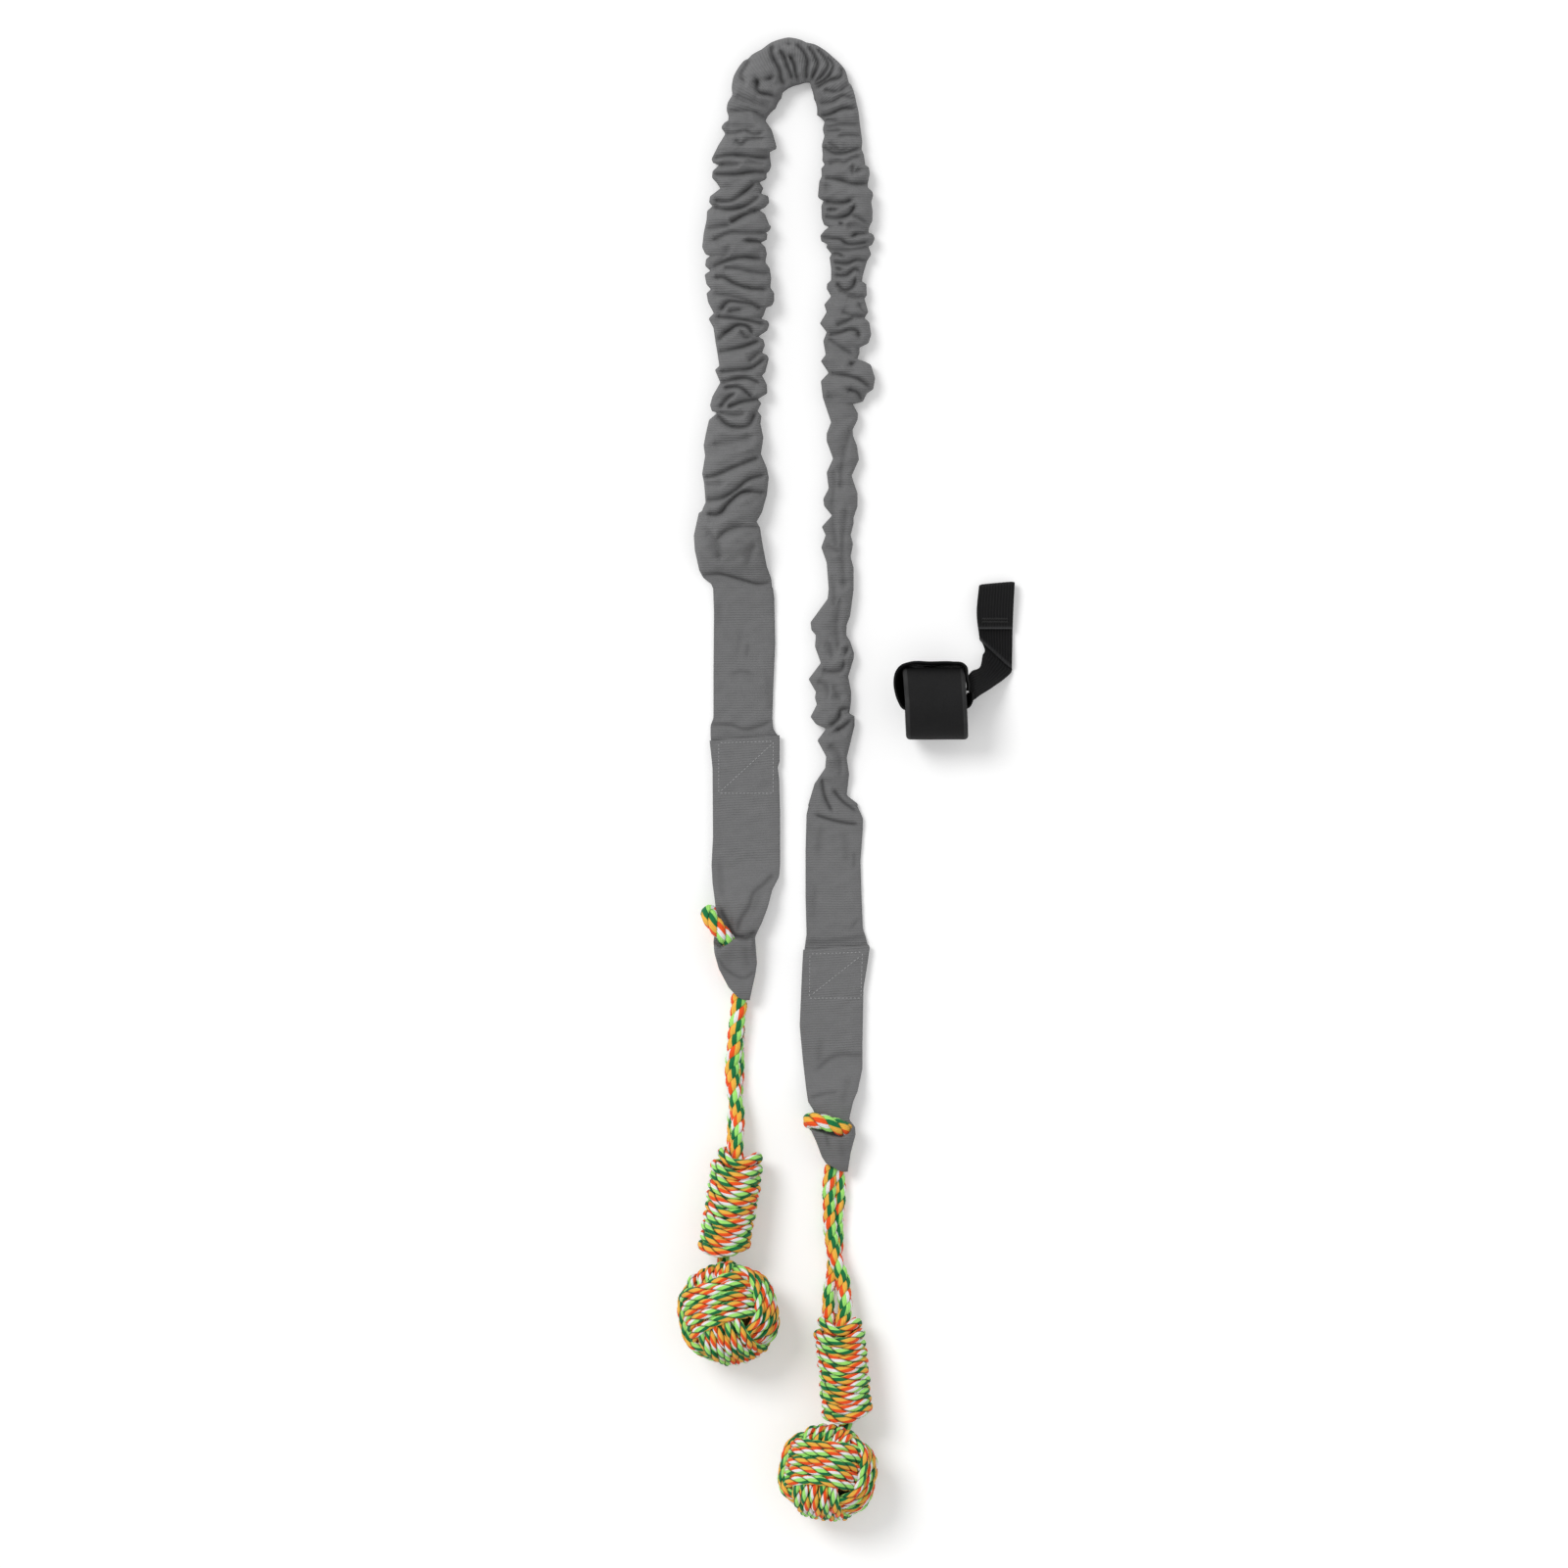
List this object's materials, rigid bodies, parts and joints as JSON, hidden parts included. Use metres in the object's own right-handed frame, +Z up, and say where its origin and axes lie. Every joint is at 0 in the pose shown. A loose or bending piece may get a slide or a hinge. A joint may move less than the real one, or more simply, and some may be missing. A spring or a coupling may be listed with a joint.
{
  "type": "rope tug toy",
  "caption": "Bungee rope tug toy: a gathered fabric sleeve bent in two, folded straps, rope-wound grips and knotted rope balls, with a foam door anchor.",
  "frame": {"origin": "centre of the bounding box's floor, with the toy laid out flat", "axes": "+Y from the rope balls towards the bend of the sleeve, +X towards the door anchor, +Z up off the floor"},
  "size_m": [0.2316, 1.028, 0.066],
  "materials": {
    "sleeve_fabric": "ribbed grey webbing sleeve, matt",
    "thread": "grey thread",
    "elastic": "white elastic cord",
    "rope_orange": "orange and yellow twisted rope",
    "rope_green": "green twisted rope",
    "rope_white": "white twisted rope",
    "foam": "black foam, matt",
    "webbing": "black webbing"
  },
  "bodies": {
    "sleeve": {"bend_sleeve": "sleeve_fabric", "bend_elastic_core": "elastic", "left_leg_sleeve": "sleeve_fabric", "left_elastic_core": "elastic", "right_leg_sleeve": "sleeve_fabric", "right_elastic_core": "elastic"},
    "left_strap": {"left_strap": "sleeve_fabric", "left_strap_fold_back": "sleeve_fabric", "left_box_stitching": "thread", "left_rope_hitch": "rope_orange", "left_hitch_back_strand": "rope_green"},
    "left_neck": {"left_upper_neck_strand_one": "rope_orange", "left_upper_neck_strand_two": "rope_green"},
    "left_grip": {"left_lower_neck_strand_one": "rope_orange", "left_lower_neck_strand_two": "rope_green", "left_grip_core": "rope_green", "left_grip_winding": "rope_orange"},
    "left_ball": {"left_ball_link": "rope_orange", "left_ball_core": "rope_green", "left_ball_wrap_first": "rope_orange", "left_ball_wrap_second": "rope_green", "left_ball_wrap_third": "rope_white"},
    "right_strap": {"right_strap": "sleeve_fabric", "right_strap_fold_back": "sleeve_fabric", "right_box_stitching": "thread", "right_rope_hitch": "rope_orange", "right_hitch_back_strand": "rope_green"},
    "right_neck": {"right_upper_neck_strand_one": "rope_orange", "right_upper_neck_strand_two": "rope_green"},
    "right_grip": {"right_lower_neck_strand_one": "rope_orange", "right_lower_neck_strand_two": "rope_green", "right_grip_core": "rope_green", "right_grip_winding": "rope_orange"},
    "right_ball": {"right_ball_link": "rope_orange", "right_ball_core": "rope_green", "right_ball_wrap_first": "rope_orange", "right_ball_wrap_second": "rope_green", "right_ball_wrap_third": "rope_white"},
    "door_anchor": {"anchor_webbing_loop": "webbing", "anchor_tail": "webbing"},
    "anchor_foam": {"foam_roller": "foam"},
    "anchor_eye": {"anchor_tail_eye": "webbing", "anchor_bar_tack": "webbing"}
  },
  "joints": [
    {"name": "left_bungee_stretch", "type": "slide", "parent": "sleeve", "child": "left_strap", "axis": [0, -1, 0], "range_m": [0, 0.25], "stiffness_N_per_m": 250, "deforming": ["left_leg_sleeve", "left_elastic_core"]},
    {"name": "left_rope_lift", "type": "hinge", "parent": "left_strap", "child": "left_neck", "pos_m": [-0.07139, -0.15845, 0.0043], "axis": [-1, 0, 0], "range_deg": [0, 90]},
    {"name": "left_rope_swing", "type": "hinge", "parent": "left_neck", "child": "left_grip", "pos_m": [-0.0738, -0.22859, 0.0043], "axis": [0, 0, 1], "range_deg": [-60, 8]},
    {"name": "left_ball_swing", "type": "hinge", "parent": "left_grip", "child": "left_ball", "pos_m": [-0.0857, -0.32968, 0.02439], "axis": [0, 0, 1], "range_deg": [-25, 10]},
    {"name": "right_bungee_stretch", "type": "slide", "parent": "sleeve", "child": "right_strap", "axis": [0, -1, 0], "range_m": [0, 0.25], "stiffness_N_per_m": 250, "deforming": ["right_leg_sleeve", "right_elastic_core"]},
    {"name": "right_rope_lift", "type": "hinge", "parent": "right_strap", "child": "right_neck", "pos_m": [-0.00571, -0.27815, 0.0043], "axis": [-1, 0, 0], "range_deg": [0, 90]},
    {"name": "right_rope_swing", "type": "hinge", "parent": "right_neck", "child": "right_grip", "pos_m": [-0.00498, -0.33269, 0.0043], "axis": [0, 0, 1], "range_deg": [-18, 60]},
    {"name": "right_ball_swing", "type": "hinge", "parent": "right_grip", "child": "right_ball", "pos_m": [0.00092, -0.44456, 0.02439], "axis": [0, 0, 1], "range_deg": [0, 35]},
    {"name": "door_anchor_lift", "type": "slide", "parent": "sleeve", "child": "door_anchor", "axis": [0, 0, 1], "range_m": [0, 0.3]},
    {"name": "foam_roller_turn", "type": "hinge", "parent": "door_anchor", "child": "anchor_foam", "pos_m": [0.0615, 0.0513, 0.025], "axis": [1, 0, 0], "continuous": true},
    {"name": "anchor_tail_hinge", "type": "hinge", "parent": "door_anchor", "child": "anchor_eye", "pos_m": [0.1034, 0.08609, 0.0022], "axis": [0.7305, -0.6829, 0], "range_deg": [0, 90]}
  ]
}
